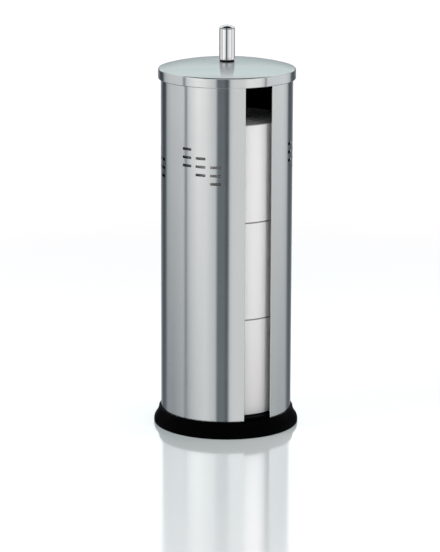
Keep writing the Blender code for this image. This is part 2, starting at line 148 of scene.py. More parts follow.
def braced(outline, closed):
    """Adds a point just inside each end of a long straight run, so that a round corner next to it
    doesn't bend the shading of the whole run."""
    count = len(outline)
    points = [Vector(point) for point in outline]

    def bend(i):
        if not closed and i in (0, count - 1):
            return 0.0
        before, after = points[i] - points[i - 1], points[(i + 1) % count] - points[i]
        return before.angle(after)

    result = []
    for i, point in enumerate(points):
        result.append(tuple(point))
        run = points[(i + 1) % count] - point
        if (i == count - 1 and not closed) or run.length < BRACE_RUN:
            continue
        step = run.normalized() * BRACE
        if bend(i) > radians(BRACE_BEND_DEG):
            result.append(tuple(point + step))
        if bend((i + 1) % count) > radians(BRACE_BEND_DEG):
            result.append(tuple(points[(i + 1) % count] - step))
    return result


def turned(name, outline, steps, closed=True):
    """A body turned about Z from (radius, height) points that run down its outer side."""
    outline = braced(outline, closed)
    bm = bmesh.new()
    grain = bm.loops.layers.uv.new("grain")
    rings, travelled = [], [0.0]
    for k, (radius, height) in enumerate(outline):
        if k:
            travelled.append(travelled[-1] + hypot(radius - outline[k - 1][0], height - outline[k - 1][1]))
        if radius < WELD:
            rings.append([bm.verts.new((0.0, 0.0, height))])
        else:
            turns = [2 * pi * j / steps for j in range(steps)]
            rings.append([bm.verts.new((radius * cos(t), radius * sin(t), height)) for t in turns])
    girth = 2 * pi * max(radius for radius, _ in outline)
    count = len(outline)
    for k in range(count if closed else count - 1):
        upper, lower = rings[k], rings[(k + 1) % count]
        v0 = travelled[k]
        v1 = travelled[k + 1] if k + 1 < count else v0 + 0.001
        for j in range(steps):
            u0, u1 = girth * j / steps, girth * (j + 1) / steps
            corners = [
                (upper[j % len(upper)], u0, v0),
                (lower[j % len(lower)], u0, v1),
                (lower[(j + 1) % len(lower)], u1, v1),
                (upper[(j + 1) % len(upper)], u1, v0),
            ]
            if len(upper) == 1:
                corners.pop()
            if len(lower) == 1:
                corners.pop(1)
            if len({vert for vert, _, _ in corners}) < 3:
                continue
            face = bm.faces.new([vert for vert, _, _ in corners])
            for loop, (_, u, v) in zip(face.loops, corners):
                loop[grain].uv = (u, v)
    piece = mesh_piece(name, bm)
    shaded(piece.data)
    return piece


def band(inner, outer, low, high):
    """Outline of a plain ring."""
    return [(inner, high), (outer, high), (outer, low), (inner, low)]


# %% [markdown]
# ## Small helpers for nodes
# Materials and Geometry Nodes are both trees of nodes. One helper adds a node, sets what it is given and
# links whatever is another node's output. An output is handed on as an Output, which can be added and
# multiplied like a number: each such sum adds a Math node, so that a tree reads as a list of formulas.

# %% Node helpers
class Output:
    """A node's output, with which sums can be written."""

    def __init__(self, tree, socket):
        self.tree, self.socket = tree, socket

    def math(self, operation, *others):
        return maths(self.tree, operation, self, *others)

    def __add__(self, other):
        return self.math("ADD", other)

    def __sub__(self, other):
        return self.math("SUBTRACT", other)

    def __rsub__(self, other):
        return maths(self.tree, "SUBTRACT", other, self)

    def __mul__(self, other):
        return self.math("MULTIPLY", other)

    def __truediv__(self, other):
        return self.math("DIVIDE", other)

    def __mod__(self, other):
        return self.math("MODULO", other)

    def __pow__(self, other):
        return self.math("POWER", other)

    def __abs__(self):
        return self.math("ABSOLUTE")

    def spread(self, low, high, to_low=0.0, to_high=1.0):
        """Maps low..high onto to_low..to_high."""
        keys = {"Value": self, "From Min": low, "From Max": high, "To Min": to_low, "To Max": to_high}
        return step(self.tree, "ShaderNodeMapRange", keys, "Result")


def feed(tree, made, inputs):
    """Sets each input to its value, or links it to its Output."""
    for key, value in inputs.items():
        if isinstance(value, Output):
            tree.links.new(value.socket, made.inputs[key])
        else:
            made.inputs[key].default_value = value


def node(tree, kind, inputs=None, **settings):
    made = tree.nodes.new(kind)
    for name, value in settings.items():
        setattr(made, name, value)
    feed(tree, made, inputs or {})
    return made


def step(tree, kind, inputs=None, output=0, **settings):
    """Adds a node and hands on one of its outputs."""
    return Output(tree, node(tree, kind, inputs, **settings).outputs[output])


def maths(tree, operation, *values):
    return step(tree, "ShaderNodeMath", dict(enumerate(values)), operation=operation)


def vector(tree, x=0.0, y=0.0, z=0.0):
    return step(tree, "ShaderNodeCombineXYZ", {"X": x, "Y": y, "Z": z})


def split(tree, place):
    """X, Y and Z of a vector."""
    return [Output(tree, socket) for socket in node(tree, "ShaderNodeSeparateXYZ", {0: place}).outputs]


def noise(tree, place, scale, detail, **settings):
    keys = {"Vector": place, "Scale": scale, "Detail": detail}
    return step(tree, "ShaderNodeTexNoise", keys, "Fac", **settings)


def ramp(tree, factor, stops):
    """A Color Ramp's output. Stops are (place, grey or colour) pairs."""
    made = node(tree, "ShaderNodeValToRGB", {"Fac": factor})
    elements = made.color_ramp.elements
    while len(elements) < len(stops):
        elements.new(1.0)
    for element, (place, colour) in zip(elements, stops):
        element.position = place
    for element, (place, colour) in zip(elements, stops):
        element.color = (*colour, 1.0) if isinstance(colour, tuple) else grey(colour)
    return Output(tree, made.outputs["Color"])


def grey(value):
    return (value, value, value, 1.0)


def blend(tree, factor, first, second, how="MIX"):
    """Mixes two colours."""
    keys = {"Factor": factor, "A": first, "B": second}
    return step(tree, "ShaderNodeMix", keys, "Result", data_type="RGBA", blend_type=how)


def new_finish(name):
    """A material, its tree and its Principled shader."""
    made = bpy.data.materials.new(name)
    made.use_nodes = True
    return made, made.node_tree, made.node_tree.nodes["Principled BSDF"]


def bumped(tree, shader, height, strength, distance):
    keys = {"Height": height, "Strength": strength, "Distance": distance}
    feed(tree, shader, {"Normal": step(tree, "ShaderNodeBump", keys)})


def object_place(tree):
    return step(tree, "ShaderNodeTexCoord", output="Object")


def grain_place(tree):
    return step(tree, "ShaderNodeUVMap", uv_map="grain")


# %% [markdown]
# ## Brushed steel
# The tube and the lid are satin steel. An abrasive belt has left thousands of fine parallel scratches, so
# the metal mirrors sharply along them and smears light across them. A picture of scratches alone looks like
# paint. What sells the finish is anisotropy, roughness that differs by direction, guided by a Tangent node
# that reads the piece's "grain" coordinates. Stretched noise then varies the tone, the roughness and the
# surface a little.

# %% Satin steel
STEEL = (0.72, 0.73, 0.725)
POLISHED = (0.80, 0.80, 0.80)
LINES_ALONG = 45.0  # noise cells per metre along a scratch
LINES_ACROSS = 4200.0  # and across it
SPAN = (0.3, 0.7)  # between which most of a noise lies


def grain_noise(tree, along, across, detail=3.0):
    """Noise drawn out along the grain."""
    stretched = step(tree, "ShaderNodeMapping", {"Vector": grain_place(tree), "Scale": (along, across, 1.0)})
    return noise(tree, stretched, 1.0, detail, noise_dimensions="2D")


def brushed(name, colour, roughness, anisotropy, tone_share):
    made, tree, shader = new_finish(name)
    fine = grain_noise(tree, LINES_ALONG, LINES_ACROSS)
    coarse = grain_noise(tree, LINES_ALONG / 3, LINES_ACROSS / 6)
    handled = grain_noise(tree, LINES_ALONG / 2, LINES_ALONG / 2, detail=2.0)
    both = fine * 0.75 + coarse * 0.25
    dim = tuple(c * (1 - tone_share) for c in colour)
    lit = tuple(min(1.0, c * (1 + tone_share)) for c in colour)
    keys = {
        "Metallic": 1.0,
        "Anisotropic": anisotropy,
        "Anisotropic Rotation": 0.25,
        "Tangent": step(tree, "ShaderNodeTangent", direction_type="UV_MAP", uv_map="grain"),
        "Base Color": ramp(tree, both, list(zip(SPAN, (dim, lit)))),
        "Roughness": both.spread(*SPAN, -0.02, 0.02) + handled.spread(*SPAN, -0.012, 0.012) + roughness,
    }
    feed(tree, shader, keys)
    bumped(tree, shader, both, strength=0.10, distance=0.00002)
    return made


satin_steel = brushed("satin steel", STEEL, roughness=0.17, anisotropy=0.95, tone_share=0.025)
polished_steel = brushed("polished steel", POLISHED, roughness=0.06, anisotropy=0.7, tone_share=0.015)
print("brushed finishes made")

# %% [markdown]
# ## Black plastic, zinc, paper and board
# The base is moulded in black plastic with a fine, even grain, so that it hides finger marks. The screw and
# its washer are zinc plated. The paper is soft, matt and embossed with small quilted dots, and the cores
# are spiral wound board, whose seam climbs round the tube. Each is a Principled shader with a pattern at
# its real scale.

# %% Plastic and zinc
def moulded(name, colour, roughness, specular):
    made, tree, shader = new_finish(name)
    place = object_place(tree)
    leather = step(tree, "ShaderNodeTexVoronoi", {"Vector": place, "Scale": 2600.0}, feature="SMOOTH_F1")
    uneven = noise(tree, place, 60.0, 3.0).spread(*SPAN, roughness - 0.04, roughness + 0.04)
    feed(tree, shader, {"Base Color": (*colour, 1.0), "Specular IOR Level": specular, "Roughness": uneven})
    bumped(tree, shader, leather, strength=0.12, distance=0.00004)
    return made


def plated(name, colour):
    made, tree, shader = new_finish(name)
    cloud = noise(tree, object_place(tree), 700.0, 4.0)
    warm = (colour[0], colour[1] * 0.97, colour[2] * 0.90)
    tone = ramp(tree, cloud, [(0.35, colour), (0.65, warm)])
    feed(tree, shader, {"Metallic": 1.0, "Base Color": tone, "Roughness": cloud.spread(*SPAN, 0.30, 0.42)})
    bumped(tree, shader, cloud, strength=0.15, distance=0.00003)
    return made


black_plastic = moulded("black plastic", (0.0007, 0.0007, 0.0009), roughness=0.40, specular=0.012)
# The tube's inside is coloured near black: painted shade, since little light reaches it.
painted_shade_inside = moulded("painted shade inside the tube", (0.0020, 0.0020, 0.0022), roughness=0.70, specular=0.01)
zinc_plate = plated("zinc plate", (0.60, 0.60, 0.58))

# %% Paper and board
DOTS_PER_METRE = 420.0
# Grey that the roll's ends are blended to: painted shade.
PAINTED_END_SHADE_GREY = 0.42
SEAM_PITCH = 0.083  # height that the board's seam climbs in one turn round the core
SEAM_SLOPE = 0.62  # and for each metre round it


def quilted_paper(name, colour):
    made, tree, shader = new_finish(name)
    place = grain_place(tree)
    turned_dots = {
        "Vector": place,
        "Scale": (DOTS_PER_METRE, DOTS_PER_METRE, 1.0),
        "Rotation": (0.0, 0.0, radians(45.0)),
    }
    cells = {"Vector": step(tree, "ShaderNodeMapping", turned_dots), "Scale": 1.0, "Randomness": 0.0}
    dots = step(tree, "ShaderNodeTexVoronoi", cells, "Distance", voronoi_dimensions="2D")
    height = dots.spread(0.12, 0.38) * 0.8 + noise(tree, place, 3500.0, 3.0) * 0.2
    # The pressed hollows of the dots are coloured 2.5 percent darker: painted shade.
    side = ramp(tree, height, [(0.1, tuple(c * 0.975 for c in colour)), (0.8, colour)])
    # Faces that look up or down, the ends of the roll, are blended towards grey: painted shade, as the ends
    # get little light inside the tube.
    painted_end_shade = abs(split(tree, step(tree, "ShaderNodeNewGeometry", output="Normal"))[2]).spread(0.75, 0.95)
    keys = {
        "Base Color": blend(tree, painted_end_shade, side, grey(PAINTED_END_SHADE_GREY)),
        "Roughness": 0.95,
        "Specular IOR Level": 0.1,
        "Sheen Weight": 0.15,
    }
    feed(tree, shader, keys)
    bumped(tree, shader, height, strength=0.35, distance=0.00012)
    return made


def spiral_board(name, colour):
    made, tree, shader = new_finish(name)
    place = grain_place(tree)
    around, up, _ = split(tree, place)
    turn = ((around * SEAM_SLOPE + up) / SEAM_PITCH).math("FRACT")
    seam = abs(turn - 0.5).spread(0.0, 0.006)
    fibre = noise(tree, place, 900.0, 5.0)
    flecked = ramp(tree, fibre, [(0.35, tuple(c * 0.86 for c in colour)), (0.65, colour)])
    board = blend(tree, seam, (*(c * 0.55 for c in colour), 1.0), flecked)
    feed(tree, shader, {"Base Color": board, "Roughness": 0.9, "Specular IOR Level": 0.2})
    bumped(tree, shader, seam + fibre * 0.4, strength=0.3, distance=0.0001)
    return made


white_paper = quilted_paper("quilted paper", (0.88, 0.88, 0.88))
grey_board = spiral_board("spiral board", (0.48, 0.42, 0.35))
print("plastic, zinc, paper and board made")


# %% Join a piece to its body
def fitted(piece, body, nodes, finish=None):
    """Gives the piece its material, hides the CAD nodes that it stands for and hangs it on the body that it
    rides on.
    """
    if finish:
        piece.data.materials.clear()
        piece.data.materials.append(finish)
    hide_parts(*nodes)
    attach(piece, body)
    return piece


# %% [markdown]
# ## Geometry Nodes helpers
# What repeats is made by Geometry Nodes: the punched dashes round the tube, the ribs under the base, and
# the windings of each roll. A tree gets named inputs for its sizes, is run as a modifier, and its result is
# baked to a plain mesh, because the exported part can't carry a live tree.

# %% Node group and bake
def new_rule(name, **sizes):
    """A Geometry Nodes tree, the geometry that comes in, and one named input for each size."""
    tree = bpy.data.node_groups.new(name, "GeometryNodeTree")
    for way in ("INPUT", "OUTPUT"):
        tree.interface.new_socket(name="Geometry", in_out=way, socket_type="NodeSocketGeometry")
    for key, value in sizes.items():
        kind = "NodeSocketInt" if isinstance(value, int) else "NodeSocketFloat"
        tree.interface.new_socket(name=key, in_out="INPUT", socket_type=kind)
    given = tree.nodes.new("NodeGroupInput").outputs
    return tree, Output(tree, given["Geometry"]), {key: Output(tree, given[key]) for key in sizes}


def end_rule(tree, geometry, finish):
    """Ends the tree in Realize Instances and Set Material."""
    real = step(tree, "GeometryNodeRealizeInstances", {"Geometry": geometry})
    painted = step(tree, "GeometryNodeSetMaterial", {"Geometry": real, "Material": finish})
    node(tree, "NodeGroupOutput", {"Geometry": painted})
    return tree


def run_rule(piece, tree, **sizes):
    """Runs the tree on the piece, and puts the plain result in the piece's place."""
    rule = piece.modifiers.new(tree.name, "NODES")
    rule.node_group = tree
    for item in tree.interface.items_tree:
        if item.in_out == "INPUT" and item.name in sizes:
            rule[item.identifier] = sizes[item.name]
    return bake(piece)


def bake(piece):
    """Applies the piece's modifiers by evaluating them once."""
    bpy.context.view_layer.update()
    graph = bpy.context.evaluated_depsgraph_get()
    result = bpy.data.meshes.new_from_object(piece.evaluated_get(graph), depsgraph=graph)
    piece.modifiers.clear()
    piece.data = result
    return piece


def cut(piece, cutters):
    """Cuts the piece with each cutter, and removes the cutters."""
    for cutter in cutters:
        boolean = piece.modifiers.new("difference", "BOOLEAN")
        boolean.operation = "DIFFERENCE"
        boolean.solver = "EXACT"
        boolean.object = cutter
    bake(piece)
    for cutter in cutters:
        bpy.data.objects.remove(cutter, do_unlink=True)


def block(name, low, high):
    """A box between two corners, for cutting."""
    bm = bmesh.new()
    size = [b - a for a, b in zip(low, high)]
    centre = [(a + b) / 2 for a, b in zip(low, high)]
    bmesh.ops.create_cube(bm, size=1.0, matrix=Matrix.Translation(centre) @ Matrix.Diagonal((*size, 1.0)))
    return mesh_piece(name, bm)


def on_points(tree, count, place, shape, turn):
    """The shape placed on each point and turned about Z, as real geometry."""
    points = step(tree, "GeometryNodePoints", {"Count": count, "Position": place})
    keys = {"Points": points, "Instance": shape, "Rotation": vector(tree, z=turn)}
    placed = step(tree, "GeometryNodeInstanceOnPoints", keys)
    return step(tree, "GeometryNodeRealizeInstances", {"Geometry": placed})


# %% [markdown]
# ## The tube
# One sheet, rolled to a C. Along the slot its edges are folded back on themselves into flat hems, which
# make the long opening stiff and safe to touch, and stand out a little from the round. The plan of the
# sheet's middle line is worked out for one half and mirrored, given its thickness, and drawn up to full
# height.

# %% Plan of the sheet
SLOT_WIDTH = 0.0295
HEM_WIDTH = 0.0030
HEM_SPACE = 0.0003
HEM_FLARE_DEG = 13.0
TUBE_STEPS = 240


def half_sheet_plan():
    """The sheet's middle line from the hem's free end, at +X, to the back, and where the hem begins."""
    middle = TUBE_RADIUS - SHEET / 2
    fold = (SHEET + HEM_SPACE) / 2
    fold_x = SLOT_WIDTH / 2 + fold + SHEET / 2
    lean = asin(fold_x / middle) + radians(HEM_FLARE_DEG)
    along = Vector((cos(lean), sin(lean)))
    outward = Vector((sin(lean), -cos(lean)))
    strip = HEM_WIDTH - fold - SHEET / 2
    start_x = fold_x + fold * outward.x + strip * along.x
    start = asin(start_x / middle)
    fold_y = -middle * cos(start) - fold * outward.y - strip * along.y
    centre = Vector((fold_x, fold_y))
    plan = [centre - fold * outward + strip * along]
    hem_steps = 10
    for i in range(hem_steps + 1):
        turn = pi - pi * i / hem_steps
        plan.append(centre + fold * cos(turn) * outward - fold * sin(turn) * along)
    count = ceil((pi - start) / (2 * pi / TUBE_STEPS))
    for i in range(count + 1):
        angle = start + (pi - start) * i / count
        plan.append(Vector((middle * sin(angle), -middle * cos(angle))))
    plan[-1] = Vector((0.0, middle))
    return plan, start_x


def skins(plan):
    """The two sides of a sheet whose middle line is the plan."""
    left, right = [], []
    for i, point in enumerate(plan):
        before = plan[i] - plan[i - 1] if i else plan[1] - plan[0]
        after = plan[i + 1] - plan[i] if i + 1 < len(plan) else before
        ways = before.normalized() + after.normalized()
        across = Vector((-ways.y, ways.x)).normalized()
        reach = SHEET / 2 / max(0.5, across.dot(Vector((-before.y, before.x)).normalized()))
        left.append(point + across * reach)
        right.append(point - across * reach)
    return left, right


half, hem_start = half_sheet_plan()
plan = half + [Vector((-p.x, p.y)) for p in reversed(half[:-1])]
print(f"sheet cut {1000 * sum((b - a).length for a, b in zip(plan, plan[1:])):.1f} mm wide before rolling")


# %% Draw the sheet up and notch its hems
def make_tube():
    """The sheet with its thickness, from the base's groove to the rim ring's channel."""
    left, right = skins(plan)
    loop = left + right[::-1]
    bm = bmesh.new()
    grain = bm.loops.layers.uv.new("grain")
    along = [0.0]
    for a, b in zip(plan, plan[1:]):
        along.append(along[-1] + (b - a).length)
    along = along + along[::-1]
    low = [bm.verts.new((p.x, p.y, tube_low.z)) for p in loop]
    high = [bm.verts.new((p.x, p.y, tube_high.z)) for p in loop]
    size, half_size = len(loop), len(plan)
    for i in range(size):
        j = (i + 1) % size
        face = bm.faces.new((low[i], high[i], high[j], low[j]))
        for corner, place in zip(face.loops, ((i, 0), (i, 1), (j, 1), (j, 0))):
            corner[grain].uv = (along[place[0]], tube_high.z if place[1] else tube_low.z)
    for i in range(half_size - 1):
        other = size - 1 - i
        bm.faces.new((low[i], low[i + 1], low[other - 1], low[other]))
        bm.faces.new((high[i + 1], high[i], high[other], high[other - 1]))
    bmesh.ops.recalc_face_normals(bm, faces=bm.faces)
    mesh = bpy.data.meshes.new("body_shell")
    bm.to_mesh(mesh)
    bm.free()
    return as_piece("tube_sheet", mesh)


LIP_TOP = FLOOR_TOP - 0.0032  # the base's lip stops a little under its floor
RING_FOOT = ring_low.z
OVERRUN = 0.002
tube = make_tube()
inner = TUBE_RADIUS - SHEET - HEM_WIDTH
outer = TUBE_RADIUS + HEM_WIDTH
notch = hem_start + FIT
notch_back = -inner * cos(asin(notch / inner)) + HEM_WIDTH
relief = [(0.0, FLOOR_TOP + FIT), (PLUG_RADIUS + FIT / 2, FLOOR_TOP + FIT)]
relief += [(radius, tube_low.z - OVERRUN) for radius, _ in reversed(relief)]
cutters = [
    block("low notch", (-notch, -outer, tube_low.z - OVERRUN), (notch, notch_back, LIP_TOP + FIT)),
    block("high notch", (-notch, -outer, RING_FOOT - FIT), (notch, notch_back, tube_high.z + OVERRUN)),
    turned("relief", relief, TUBE_STEPS, closed=False),
]
cut(tube, cutters)
print("tube", len(tube.data.polygons), "faces")

# %% [markdown]
# ## The punched dashes
# Five groups of nine short dashes go round the tube near its top. A group has three columns of three, and
# each column starts one row lower than the last, so the groups look like they are stepping down. In the
# workshop one punch tool makes them all. Here one punch, a bar with rounded corners, is placed by a rule in
# Geometry Nodes and cut from the sheet with a Mesh Boolean node, which gives every dash a real, steel-thick
# edge.

# %% The rule for the dashes
DASHES = {
    "Groups": 5,
    "Columns": 3,
    "Rows": 3,
    "First angle": radians(-52.3),
    "Group pitch": radians(-63.0),
    "Column pitch": 0.0154,
    "Row pitch": 0.00826,
    "Dash length": 0.0106,
    "Dash height": 0.00275,
    "Corner": 0.0008,
    "Depth": 0.0026,
    "Radius": TUBE_RADIUS - SHEET / 2,
    "Outside": TUBE_RADIUS,
    "Middle height": tube_high.z - 0.0867,
}
CORNER_STEPS = 5


def dash_rule():
    tree, sheet, size = new_rule("dash rule", **DASHES)
    each = size["Columns"] * size["Rows"]
    index = step(tree, "GeometryNodeInputIndex")
    rest = index % each
    group = (index / each).math("FLOOR")
    column = (rest / size["Rows"]).math("FLOOR")
    aside = column - (size["Columns"] - 1.0) * 0.5
    below = rest % size["Rows"] - (size["Rows"] - 1.0) * 0.5
    turn = size["First angle"] + group * size["Group pitch"]
    angle = turn + aside * (size["Column pitch"] / size["Outside"])
    drop = (below + aside) * size["Row pitch"]
    x, y = size["Radius"] * angle.math("SINE"), size["Radius"] * angle.math("COSINE") * -1.0
    spot = vector(tree, x, y, size["Middle height"] - drop)

    bar = {"Width": size["Dash length"], "Height": size["Dash height"]}
    bar = step(tree, "GeometryNodeCurvePrimitiveQuadrilateral", bar)
    bar = {"Curve": bar, "Radius": size["Corner"], "Count": CORNER_STEPS}
    bar = step(tree, "GeometryNodeFilletCurve", bar, mode="POLY")
    ends = {"Start": vector(tree, z=size["Depth"] * -1.0), "End": vector(tree, z=size["Depth"])}
    rail = step(tree, "GeometryNodeCurvePrimitiveLine", ends)
    punch = step(tree, "GeometryNodeCurveToMesh", {"Curve": rail, "Profile Curve": bar, "Fill Caps": True})
    lying = step(tree, "GeometryNodeTransform", {"Geometry": punch, "Rotation": (pi / 2, 0.0, 0.0)})

    punches = on_points(tree, each * size["Groups"], spot, lying, angle)
    keys = {"Mesh 1": sheet, "Mesh 2": punches}
    pierced = step(tree, "GeometryNodeMeshBoolean", keys, operation="DIFFERENCE", solver="EXACT")
    return end_rule(tree, pierced, satin_steel)


run_rule(tube, dash_rule(), **DASHES)
print("tube with its dashes", len(tube.data.polygons), "faces")

# %% [markdown]
# ## Clean reflections on the tube
# A Boolean leaves long faces round every hole, and their averaged normals would ripple the reflections. The
# tube is a true cylinder, so each of its corners is simply given the normal of that cylinder. The inside is
# coloured near black, which is painted shade: no light was meant to reach it, and through the slot it shows
# black.


# %% Cylinder normals and the painted shade inside
ON_SKIN = 0.00004  # how near a corner must be to the cylinder


def finish_tube(piece):
    mesh = piece.data
    mesh.materials.clear()
    mesh.materials.append(satin_steel)
    mesh.materials.append(painted_shade_inside)
    shaded(mesh)
    normals = [Vector(corner.vector) for corner in mesh.corner_normals]
    inward = 0
    for face in mesh.polygons:
        radial = Vector((face.center.x, face.center.y, 0.0))
        face.material_index = 0
        if radial.length < WELD or abs(face.normal.z) > 0.5:
            continue
        facing = face.normal.dot(radial.normalized())
        places = [mesh.vertices[mesh.loops[i].vertex_index].co for i in face.loop_indices]
        reaches = [hypot(p.x, p.y) for p in places]
        outside = facing > 0.99 and max(abs(r - TUBE_RADIUS) for r in reaches) < ON_SKIN
        inside = facing < -0.99 and max(abs(r - TUBE_RADIUS + SHEET) for r in reaches) < ON_SKIN
        # Faces that look inwards get the second material, the near-black painted shade.
        face.material_index = 1 if facing < -0.5 else 0
        inward += face.material_index
        if outside or inside:
            for i, p in zip(face.loop_indices, places):
                normals[i] = Vector((p.x, p.y, 0.0)).normalized() * (1.0 if outside else -1.0)
    mesh.normals_split_custom_set(normals)
    print("faces on the inside", inward)


finish_tube(tube)
fitted(tube, "holder", ["body_shell"])

# %% [markdown]
# ## The base
# A single black moulding: a raised floor that plugs the tube, a narrow groove that takes the sheet, a thin
# lip outside it, and a skirt that flares in a hollow curve and rolls over into a bead. Underneath it is
# hollow, so that the plastic stays thin, and ribs and a hub stiffen the floor. Its section is drawn as one
# outline and turned. The ribs follow a rule, so they are a second Geometry Nodes tree, joined on with a
# Boolean. The node's default solver lost the ribs and the hub without a word, and EXACT keeps them, so
# their area is printed.

# %% Section of the base
BASE_STEPS = 192
GROOVE_BOTTOM = LIP_TOP - 0.0090
UNDER_FLOOR = FLOOR_TOP - 0.0025
WALL = 0.0022
UNDER_RADIUS = PLUG_RADIUS - WALL  # of the hollow under the floor
EASE = 0.0005


def base_section():
    lip_outer = LIP_RADIUS + 0.0019
    draft_deg, flare_deg = 6.0, 38.0
    draft, flare = radians(draft_deg), radians(flare_deg)
    cove_radius, bead_radius, foot_round = 0.0160, 0.0085, 0.0012
    cove_centre = (lip_outer + cove_radius * cos(draft), LIP_TOP - 0.0005 + cove_radius * sin(draft))
    cove = arc(cove_centre, cove_radius, 180.0 + draft_deg, 180.0 + flare_deg, 14)
    join = cove[-1]
    bead_centre = (join[0] - bead_radius * cos(flare), join[1] - bead_radius * sin(flare))
    bead = arc(bead_centre, bead_radius, flare_deg, 0.0, 14, skip_first=True)
    foot = arc((bead[-1][0] - foot_round, foot_round), foot_round, 0.0, -90.0, 6)
    foot_inner = foot[-1][0] - WALL
    ceiling = GROOVE_BOTTOM - 0.0020
    groove = [(PLUG_RADIUS, GROOVE_BOTTOM), (LIP_RADIUS, GROOVE_BOTTOM), (LIP_RADIUS, LIP_TOP)]
    top = [(0.0, FLOOR_TOP), (PLUG_RADIUS, FLOOR_TOP), *groove, (lip_outer - 0.0001, LIP_TOP)]
    under = [(foot_inner, 0.0), (foot_inner, ceiling), (UNDER_RADIUS, ceiling), (UNDER_RADIUS, UNDER_FLOOR)]
    return eased([*top, *cove, *bead, *foot, *under, (0.0, UNDER_FLOOR)], EASE, closed=False)


base = turned("base", base_section(), BASE_STEPS, closed=False)
print("base", len(base.data.polygons), "faces")

# %% The rule for the ribs
ROOT = 0.0006  # how far the ribs reach into the floor and the wall
RIBS = {
    "Bars": 3,
    "Reach": 2 * (UNDER_RADIUS + ROOT),
    "Thickness": 0.0016,
    "Rib depth": 0.0035,
    "Root": ROOT,
    "Ceiling": UNDER_FLOOR,
    "Hub radius": 0.0120,
    "Hub wall": 0.0018,
    "Hub depth": 0.0040,
}
HUB_STEPS = 64


def rib_rule():
    tree, moulding, size = new_rule("rib rule", **RIBS)
    top = size["Ceiling"] + size["Root"]
    tall = size["Rib depth"] + size["Root"]
    bar = step(tree, "GeometryNodeMeshCube", {"Size": vector(tree, size["Reach"], size["Thickness"], tall)})
    turn = step(tree, "GeometryNodeInputIndex") * pi / size["Bars"]
    bars = on_points(tree, size["Bars"], vector(tree, z=top - tall * 0.5), bar, turn)
    hub_tall = size["Hub depth"] + size["Root"]
    lift = vector(tree, z=top - hub_tall * 0.5)
    rounds = []
    for radius, tall_share in ((size["Hub radius"], 1.0), (size["Hub radius"] - size["Hub wall"], 1.5)):
        keys = {"Vertices": HUB_STEPS, "Radius": radius, "Depth": hub_tall * tall_share}
        keys = {"Geometry": step(tree, "GeometryNodeMeshCylinder", keys), "Translation": lift}
        rounds.append(step(tree, "GeometryNodeTransform", keys))
    keys = {"Mesh 1": rounds[0], "Mesh 2": rounds[1]}
    hub = step(tree, "GeometryNodeMeshBoolean", keys, operation="DIFFERENCE", solver="EXACT")
    keys = {"Self Intersection": True}
    united = node(tree, "GeometryNodeMeshBoolean", keys, operation="UNION", solver="EXACT")
    for part in (moulding, bars, hub):
        feed(tree, united, {"Mesh 2": part})
    return end_rule(tree, Output(tree, united.outputs[0]), black_plastic)


run_rule(base, rib_rule(), **RIBS)
shaded(base.data)
fitted(base, "holder", ["base_moulding"])
rib_area = sum(
    face.area
    for face in base.data.polygons
    if face.normal.z < -0.9
    and UNDER_FLOOR - 0.0045 < face.center.z < UNDER_FLOOR - 0.0030
    and face.center.xy.length < UNDER_RADIUS
)
print("base with its ribs", len(base.data.polygons), "faces, rib undersides", round(1e6 * rib_area), "mm2")

# %% [markdown]
# ## The rim ring
# A tube that is slotted from end to end would not stay round by itself. A black channel is pressed down on
# its top edge and holds it, and the lid's skirt slides over it.

# %% The channel
RING_CHANNEL = tube_high.z + FIT
ring_inner = PLUG_RADIUS - 0.0009
ring_section = [
    (ring_inner, ring_high.z),
    (RING_RADIUS, ring_high.z),
    (RING_RADIUS, RING_FOOT),
    (LIP_RADIUS, RING_FOOT),
    (LIP_RADIUS, RING_CHANNEL),
    (PLUG_RADIUS, RING_CHANNEL),
    (PLUG_RADIUS, RING_FOOT),
    (ring_inner, RING_FOOT),
]
ring = turned("rim_channel", eased(ring_section, SMALL_CORNER), BASE_STEPS)
fitted(ring, "holder", ["rim_ring"], black_plastic)
print("rim ring", len(ring.data.polygons), "faces")

# %% [markdown]
# ## The lid
# A pressed dome with a straight skirt, whose lower edge is folded up inside as a hem. The dome is nearly
# flat in the middle and falls off towards its edge. Its top is brushed in one straight direction, but its
# skirt is brushed round, as it was turned against the belt. So the dome's faces get grain coordinates that
# run straight across, and the skirt keeps the ones that run round.

# %% Section of the lid
LID_CORNER = 0.0016
LID_SKIRT = 0.00975
DOME_RISE = 0.0068
DOME_POWER = 3.0
SCREW_HOLE = 0.0023
DOME_STEPS = 40

corner_radius = LID_RADIUS - LID_CORNER
edge_lean = atan(DOME_RISE * DOME_POWER / corner_radius)
dome_edge_radius = corner_radius + LID_CORNER * sin(edge_lean)
corner_height = lid_low.z + LID_SKIRT - LID_CORNER * sin(pi / 4)
dome_edge_height = corner_height + LID_CORNER * cos(edge_lean)


def dome_height(radius):
    """Height of the lid's outer skin."""
    return dome_edge_height + DOME_RISE * (1 - (radius / dome_edge_radius) ** DOME_POWER)


def under_dome(radius):
    slope = DOME_RISE * DOME_POWER / dome_edge_radius * (radius / dome_edge_radius) ** (DOME_POWER - 1)
    return dome_height(radius) - LID_SHEET / cos(atan(slope))


def lid_section():
    corner = (corner_radius, dome_edge_height - LID_CORNER * cos(edge_lean))
    hem = LID_SHEET + 0.00015
    hem_top = lid_low.z + 0.0030
    hem_middle = lid_low.z + hem
    span = dome_edge_radius - SCREW_HOLE
    radii = [SCREW_HOLE + span * i / DOME_STEPS for i in range(DOME_STEPS)]
    layer = LID_RADIUS - 2 * hem
    lean_deg = degrees(edge_lean)
    return [
        *[(radius, dome_height(radius)) for radius in radii],
        *arc(corner, LID_CORNER, 90.0 - lean_deg, 0.0, 8),
        *arc((LID_RADIUS - hem, hem_middle), hem, 0.0, -180.0, 10),
        (layer, hem_top),
        (layer + LID_SHEET, hem_top),
        (layer + LID_SHEET, hem_middle),
        (LID_RADIUS - LID_SHEET, hem_middle),
        *arc(corner, LID_CORNER - LID_SHEET, 0.0, 90.0 - lean_deg, 8),
        *[(radius, under_dome(radius)) for radius in reversed(radii)],
    ]


